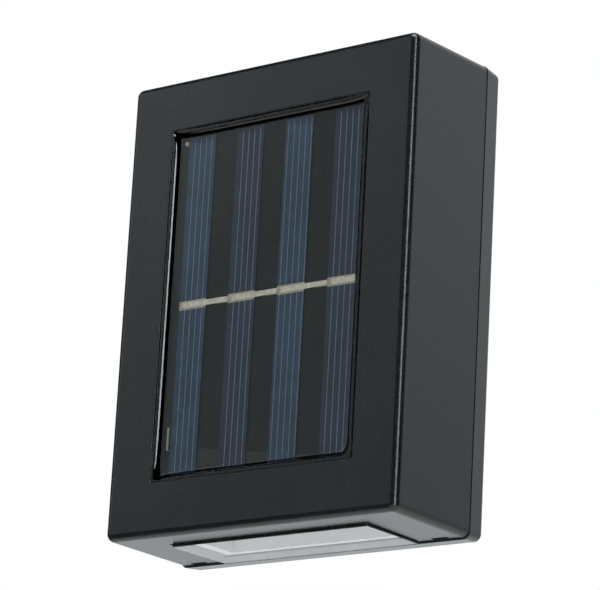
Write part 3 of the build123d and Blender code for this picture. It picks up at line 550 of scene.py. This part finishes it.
# ---------------------------------------------------------------- resin
class FENCE_OT_resin(bpy.types.Operator):
    """Pour the clear resin: level over the cells, drawn up at the rim and out into the corners"""

    bl_idname = "fence.resin"
    bl_label = "Resin"

    SURFACE, SIDES, EDGE = range(3)
    # the steeper faces get the edge finish, whose lower clearness is painted shade
    LEVEL_TILT = math.radians(9)        # where the surface is steeper, it has the finish of an edge
    FILLED_DRAW = 0.35                  # share of the corner draw that is left in the filled corner
    TABLE_STEP = 0.01 * MM

    def execute(self, context):
        settings = context.scene.fence_resin
        low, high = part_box("epoxy_fill")
        across = self.stations(low.x, high.x)
        up = self.stations(low.z, high.z)
        drops = self.drop_table(settings)
        vertices = []
        for z in up:
            for x in across:
                inset = self.inset(settings, x, z, low, high)
                vertices.append((x, low.y + self.drop_at(drops, inset), z))
        faces = grid_faces(len(across), len(up))
        top_faces = len(faces)
        self.close(vertices, faces, len(across), len(up), high.y)
        surface = clear_finish("resin_surface", ior=1.5, clearness=settings.clearness,
                               roughness=settings.gloss, dust=0.12)
        sides = hidden_clear_finish("resin_sides", clearness=0.999)
        # painted shade: the edge finish darkens what is seen through the steep resin
        edge = clear_finish("resin_edge_painted_shade", ior=1.5, clearness=settings.edge_shade_clearness,
                            roughness=settings.gloss, dust=0.0)
        piece = new_piece("resin_pour", vertices, faces, [surface, sides, edge])
        level = math.cos(self.LEVEL_TILT)
        for polygon in piece.data.polygons[:top_faces]:
            polygon.material_index = self.EDGE if abs(polygon.normal.y) < level else self.SURFACE
        for polygon in piece.data.polygons[top_faces:]:
            polygon.material_index = self.SIDES
            polygon.use_smooth = False
        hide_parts("epoxy_fill")
        return {"FINISHED"}

    def stations(self, start, end):
        """Places along one side: close together near both ends, far apart over the cells."""
        fine, coarse, margin = 0.05 * MM, 1.2 * MM, 3.2 * MM
        count = round(margin / fine)
        edge = [index * margin / count for index in range(count + 1)]
        inner = end - start - 2 * margin
        steps = max(1, round(inner / coarse))
        middle = [margin + index * inner / steps for index in range(1, steps)]
        other = [end - start - place for place in reversed(edge)]
        return [start + place for place in edge + middle + other]

    def reach(self, settings):
        """How far in from the rim the resin is level again."""
        return settings.ledge + settings.brow + settings.shoulder + settings.dip

    def inset(self, settings, x, z, low, high):
        """How far in from the rim a point counts as, with the corners rounded and drawn out."""
        reach = self.reach(settings)
        from_foot = settings.foot + (z - low.z) * (reach - settings.foot) / reach
        side = min(x - low.x, high.x - x)
        end = min(from_foot, high.z - z)
        lower = z < (low.z + high.z) / 2
        filled = lower and x > (low.x + high.x) / 2
        radius = settings.sharp_corner
        if lower:
            radius = settings.round_corner if filled else settings.drawn_corner
        meet = max(radius - abs(side - end), 0.0)
        nearest = min(side, end) - meet * meet / (4 * radius)
        draw = settings.horn * (self.FILLED_DRAW if filled else 1.0)
        return nearest + draw * math.exp(-(side + end) / settings.horn_width)

    def tilt_at(self, settings, inset):
        """Tilt of the surface at a distance from the rim: up out of the groove, level, then down inwards."""
        if inset < settings.groove:
            return -settings.crest * (1 - inset / settings.groove)
        past = inset - settings.ledge
        if past <= 0:
            return 0.0
        if past < settings.brow:
            return settings.crest * past / settings.brow
        past = max(0.0, past - settings.brow - settings.shoulder)
        return settings.crest * math.sqrt(max(0.0, 1 - past / settings.dip))

    def drop_table(self, settings):
        """How far the resin lies below its crest, step by step inwards."""
        step = self.TABLE_STEP
        table = [0.0]
        while len(table) * step < self.reach(settings) + step:
            tilt = self.tilt_at(settings, (len(table) - 0.5) * step)
            table.append(table[-1] + math.tan(tilt) * step)
        crest = min(table)
        return [drop - crest for drop in table]

    def drop_at(self, table, inset):
        """The drop at any distance from the rim, between two steps of the table."""
        place = max(0.0, inset / self.TABLE_STEP)
        index = min(int(place), len(table) - 2)
        share = min(place - index, 1.0)
        return table[index] * (1 - share) + table[index + 1] * share

    def close(self, vertices, faces, columns, rows, back):
        """Four flat sides and a flat back, so that the resin is one closed body."""
        last = columns * rows - 1
        sides = (range(0, columns), range(columns - 1, last + 1, columns),
                 range(last, last - columns, -1), range(last - columns + 1, -1, -columns))
        first = len(vertices)
        vertices += [(vertices[side[0]][0], back, vertices[side[0]][2]) for side in sides]
        for number, side in enumerate(sides):
            faces.append((*reversed(side), first + number, first + (number + 1) % 4))
        faces.append((first + 3, first + 2, first + 1, first))


# ---------------------------------------------------------------- light
class FENCE_OT_lamp(bpy.types.Operator):
    """Finish the lens, the reflector, the light board and the LEDs"""

    bl_idname = "fence.lamp"
    bl_label = "Lens and light"

    UNDERSIDE, INSIDE, WALL, SEAT = range(4)
    FACING = 0.7                # part of a normal along an axis from which a face faces that way
    SEAT_DEPTH = 1.8 * MM       # how near to its front or right end a wall of the lens lies in the gap that gets painted shade

    def execute(self, context):
        settings = context.scene.fence_lamp
        clear = clear_finish("lens_polycarbonate", ior=1.3, clearness=settings.lens_clearness,
                             roughness=0.06, dust=0.1)
        inside = hidden_clear_finish("lens_inside", clearness=0.99)
        # painted shade: the front and right walls of the lens get a dark finish that stands in for the shadow
        # in the gap between the lens and the shell
        gap_shade_finish = plain_finish("lens_painted_gap_shade", (0.012, 0.013, 0.013), roughness=0.3, patch=0.9,
                            contrast=0.7, relief=0.03)
        # painted light: the other upright walls of the lens get a milky white that stands in for the light
        # caught in them
        coat("bottom_lens", clear, inside, caught_light_wall_finish("lens_wall_painted_light"), gap_shade_finish)
        low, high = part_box("bottom_lens")
        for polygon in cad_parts["bottom_lens"].data.polygons:
            polygon.material_index = self.lens_face(polygon, low, high)
        coat("reflector", plain_finish("reflector_white", settings.reflector_colour, roughness=0.35,
                                       patch=6.0, contrast=0.03, relief=0.004))
        coat("led_board", plain_finish("light_board", (0.72, 0.72, 0.70), roughness=0.4, patch=2.0,
                                       contrast=0.05, relief=0.004))
        package = plain_finish("led_body", (0.78, 0.78, 0.75), roughness=0.35, patch=0.8,
                               contrast=0.05, relief=0.003)
        phosphor = plain_finish("led_phosphor", settings.phosphor_colour, roughness=0.25, patch=0.3,
                                contrast=0.1, relief=0.004)
        for number in (1, 2):
            coat(f"led_package_{number}", package)
            coat(f"led_phosphor_{number}", phosphor)
        return {"FINISHED"}

    def lens_face(self, polygon, low, high):
        """Which finish a face of the lens has: its front and right walls get the painted shade of the gap
        round it.
        """
        normal, centre = polygon.normal, polygon.center
        if normal.z < -self.FACING:
            return self.UNDERSIDE
        if normal.z > self.FACING:
            return self.INSIDE
        front = normal.y < -self.FACING and centre.y < low.y + self.SEAT_DEPTH
        right = normal.x > self.FACING and centre.x > high.x - self.SEAT_DEPTH
        return self.SEAT if front or right else self.WALL


# ---------------------------------------------------------------- electronics and switch
class FENCE_OT_parts(bpy.types.Operator):
    """Finish the battery, contacts, chip, inductor, leads and switch, and letter the recess"""

    bl_idname = "fence.parts"
    bl_label = "Battery, board and switch"

    RECESS_DEPTH = 2.0 * MM             # from the tip of the lever in to the floor of its recess
    WORD_REACH = 5.2 * MM               # from the middle of the switch to the middle of a word

    def execute(self, context):
        settings = context.scene.fence_parts
        coat("battery_can", drawn_metal("battery_steel", (0.62, 0.62, 0.60), roughness=0.25, along=0))
        coat("battery_sleeve", plain_finish("battery_film", settings.sleeve_colour, roughness=0.2,
                                            patch=5.0, contrast=0.08, relief=0.003))
        contact = drawn_metal("contact_steel", (0.66, 0.64, 0.60), roughness=0.3, along=2)
        for node in ("battery_spring", "negative_contact", "positive_contact", "switch_frame"):
            coat(node, contact)
        coat("switch_pins", drawn_metal("switch_pin_tin", (0.70, 0.68, 0.62), roughness=0.35, along=1))
        coat("switch_wiper", drawn_metal("wiper_copper", (0.75, 0.42, 0.25), roughness=0.3, along=0))
        black = plain_finish("black_nylon", (0.012, 0.012, 0.012), roughness=0.45, patch=0.8,
                             contrast=0.15, relief=0.01)
        for node in ("driver_chip", "switch_base", "switch_lever"):
            coat(node, black)
        coat("boost_inductor", plain_finish("inductor_dip", settings.inductor_colour, roughness=0.3,
                                            patch=1.0, contrast=0.1, relief=0.008))
        for sign, colour_name, colour in (("positive", "red", settings.red_wire),
                                          ("negative", "black", settings.black_wire)):
            insulation = plain_finish(f"{colour_name}_insulation", colour, roughness=0.4, patch=1.5,
                                      contrast=0.08, relief=0.004)
            for source in ("led", "battery", "panel"):
                coat(f"{source}_lead_{sign}", insulation)
        self.letter_recess(settings)
        return {"FINISHED"}

    def letter_recess(self, settings):
        """The words OFF and ON, raised on the floor of the recess beside the lever, read from behind."""
        low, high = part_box("switch_lever")
        floor = high.y - self.RECESS_DEPTH
        middle = (low.z + high.z) / 2
        paint = plain_finish("letter_grey", (0.30, 0.31, 0.31), roughness=0.6, patch=0.5,
                             contrast=0.1, relief=0.01)
        for word, x in (("OFF", -self.WORD_REACH), ("ON", self.WORD_REACH)):
            curve = bpy.data.curves.new(f"switch_word_{word.lower()}", "FONT")
            curve.body = word
            curve.size = settings.letter_height
            curve.extrude = settings.letter_relief / 2
            curve.align_x = "CENTER"
            curve.align_y = "CENTER"
            text = bpy.data.objects.new(curve.name, curve)
            text.location = (x, floor, middle)
            text.rotation_euler = (math.radians(90), 0.0, math.radians(180))
            bpy.context.scene.collection.objects.link(text)
            bpy.context.view_layer.update()
            depsgraph = bpy.context.evaluated_depsgraph_get()
            mesh = bpy.data.meshes.new_from_object(text.evaluated_get(depsgraph))
            mesh.transform(text.matrix_world)
            bpy.data.objects.remove(text)
            mesh.materials.clear()
            mesh.materials.append(paint)
            letters = bpy.data.objects.new(curve.name, mesh)
            bpy.context.scene.collection.objects.link(letters)
            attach(letters, HOUSING)


# ---------------------------------------------------------------- studio
# A card of the studio spans the azimuths from left to right and the elevations from bottom to top, in
# degrees. Azimuth 0 is straight in front of the face and grows to the right. Its brightness goes from first
# to last between the heights low and high, in metres, which both grow by the slant for each metre to the
# right.
Card = namedtuple("Card", "name left right bottom top first last slant low high",
                  defaults=(0.0, 0.0, 0.0, 0.0, 1.0))
CARDS = (
    Card("card_key", -64, -27, 6, 36, first=0.43, last=1.30, slant=1.2, low=1.48, high=1.78),
    Card("card_key_top", -64, -27, 36, 90),
    Card("card_front_dark", -27, 47, -26, 50),
    Card("card_corner", -27, 47, 50, 86, first=9.0, last=9.0),
    Card("card_strip", 47, 59, -26, 60, first=10.0, last=10.0),
    Card("card_right_dark", 59, 122, -26, 88),
    Card("card_side", 122, 165, -26, 60, first=0.62, last=1.02, low=0.2, high=0.6),
    Card("card_left_dark", -152, -64, 0, 88),
    Card("card_low_dark", -90, -27, -43, 6),
    Card("card_under", -155, -100, -24, -3, first=1.10, last=1.10),
)
CARD_TINT = (0.90, 0.965, 1.0)
CARD_COLUMNS = 12
CARD_ROWS = 8
CARD_CLEARANCE = 10 * MM                # from the floor to a card that lies on it
LEAST_FALL = 0.001                      # directions that fall less than this count as level


class FENCE_OT_stage(bpy.types.Operator):
    """Set up the floor, the soft lamps, the cards that the plastic mirrors, and the camera"""

    bl_idname = "fence.stage"
    bl_label = "Studio"

    def execute(self, context):
        settings = context.scene.fence_studio
        scene = context.scene
        scene.view_settings.view_transform = "Standard"
        self.make_camera(scene, settings)
        self.make_floor(settings)
        self.make_world(scene, settings)
        for card in CARDS:
            self.make_card(settings, card)
        self.make_lamp("key_lamp", place=(-0.55, -0.85, 0.75), size=0.9, power=settings.key)
        self.make_lamp("under_lamp", place=(0.05, -0.15, -0.55), size=1.4, power=settings.under)
        return {"FINISHED"}

    def make_camera(self, scene, settings):
        data = bpy.data.cameras.new("camera")
        data.sensor_width = 36.0
        data.lens = settings.camera_lens
        data.clip_start = 0.01
        camera = bpy.data.objects.new("camera", data)
        camera.location = settings.camera_place
        aim = Vector(settings.camera_target) - Vector(settings.camera_place)
        camera.rotation_mode = "QUATERNION"
        spin = Quaternion((0.0, 0.0, 1.0), settings.camera_roll)
        camera.rotation_quaternion = aim.to_track_quat("-Z", "Y") @ spin
        scene.collection.objects.link(camera)
        scene.camera = camera

    def make_floor(self, settings):
        """A pale matt floor that is plain white to mirrors and through clear pieces."""
        s = Surface("studio_floor")
        clouds = s.noise(s.place(), size=0.2)
        matt = s.matt(s.blend(clouds, (0.86, 0.86, 0.86), (0.90, 0.90, 0.90)))
        material = s.shade(s.mix(s.seen_by("Glossy", "Transmission"), matt, s.glow(WHITE)))
        material.cycles.emission_sampling = "NONE"
        reach, height = 4.0, -settings.floor_drop
        corners = [(-reach, -reach, height), (reach, -reach, height),
                   (reach, reach, height), (-reach, reach, height)]
        new_piece("floor", corners, [(0, 1, 2, 3)], [material], body=None, smooth=False)

    def make_world(self, scene, settings):
        """Soft light all round that is plain white to the camera, to mirrors and through clear pieces."""
        s = Surface("studio_world", world=True)
        soft = s.add("ShaderNodeBackground", values={"Color": WHITE, "Strength": settings.ambient})
        plain = s.add("ShaderNodeBackground", values={"Color": WHITE, "Strength": 1.0})
        scene.world = s.shade(s.mix(s.seen_by("Camera", "Glossy", "Transmission"), soft, plain))

    def make_card(self, settings, card):
        """A curved card that only mirrors see. Where it would go through the floor, it lies on it."""
        s = Surface(card.name)
        x, _, z = s.axes(s.place())
        level = (z - x * card.slant).rise(card.low, card.high)
        colour = s.blend(level, shade_of(CARD_TINT, card.first), shade_of(CARD_TINT, card.last))
        material = s.shade(s.glow(colour))
        material.cycles.emission_sampling = "NONE"
        above_floor = settings.floor_drop - CARD_CLEARANCE
        vertices = []
        for row in range(CARD_ROWS + 1):
            elevation = math.radians(card.bottom + (card.top - card.bottom) * row / CARD_ROWS)
            for column in range(CARD_COLUMNS + 1):
                azimuth = math.radians(card.left + (card.right - card.left) * column / CARD_COLUMNS)
                ray = Vector((math.sin(azimuth) * math.cos(elevation),
                              -math.cos(azimuth) * math.cos(elevation), math.sin(elevation)))
                to_floor = above_floor / max(-ray.z, LEAST_FALL)
                vertices.append(ray * min(settings.room_radius, to_floor))
        faces = grid_faces(CARD_COLUMNS + 1, CARD_ROWS + 1)
        screen = new_piece(card.name, vertices, faces, [material], body=None)
        screen.visible_camera = False
        screen.visible_diffuse = False
        screen.visible_transmission = False
        screen.visible_shadow = False

    def make_lamp(self, name, place, size, power):
        """A large soft lamp that lights the object and isn't mirrored in it."""
        data = bpy.data.lights.new(name, "AREA")
        data.size = size
        data.energy = power
        lamp = bpy.data.objects.new(name, data)
        lamp.location = place
        lamp.rotation_mode = "QUATERNION"
        lamp.rotation_quaternion = (-Vector(place)).to_track_quat("-Z", "Y")
        lamp.visible_glossy = False
        lamp.visible_camera = False
        bpy.context.scene.collection.objects.link(lamp)


# ---------------------------------------------------------------- panel and registration
OPERATORS = (
    FENCE_OT_housing,
    FENCE_OT_panel,
    FENCE_OT_resin,
    FENCE_OT_lamp,
    FENCE_OT_parts,
    FENCE_OT_stage,
)


class FENCE_PT_sidebar(bpy.types.Panel):
    """The steps that dress the fence light"""

    bl_idname = "FENCE_PT_sidebar"
    bl_label = "Fence light"
    bl_space_type = "VIEW_3D"
    bl_region_type = "UI"
    bl_category = "Fence light"

    def draw(self, context):
        for operator, settings in zip(OPERATORS, SETTINGS):
            column = self.layout.column()
            column.operator(operator.bl_idname)
            group = getattr(context.scene, settings)
            for name in group.__annotations__:
                column.prop(group, name)


def register():
    for settings in SETTINGS.values():
        bpy.utils.register_class(settings)
    for name, settings in SETTINGS.items():
        setattr(bpy.types.Scene, name, bpy.props.PointerProperty(type=settings))
    for operator in OPERATORS:
        bpy.utils.register_class(operator)
    bpy.utils.register_class(FENCE_PT_sidebar)


def unregister():
    bpy.utils.unregister_class(FENCE_PT_sidebar)
    for operator in reversed(OPERATORS):
        bpy.utils.unregister_class(operator)
    for name, settings in SETTINGS.items():
        delattr(bpy.types.Scene, name)
        bpy.utils.unregister_class(settings)


def main():
    register()
    bpy.ops.fence.housing()
    bpy.ops.fence.panel()
    bpy.ops.fence.resin()
    bpy.ops.fence.lamp()
    bpy.ops.fence.parts()
    bpy.ops.fence.stage()


if __name__ == "__main__":
    main()
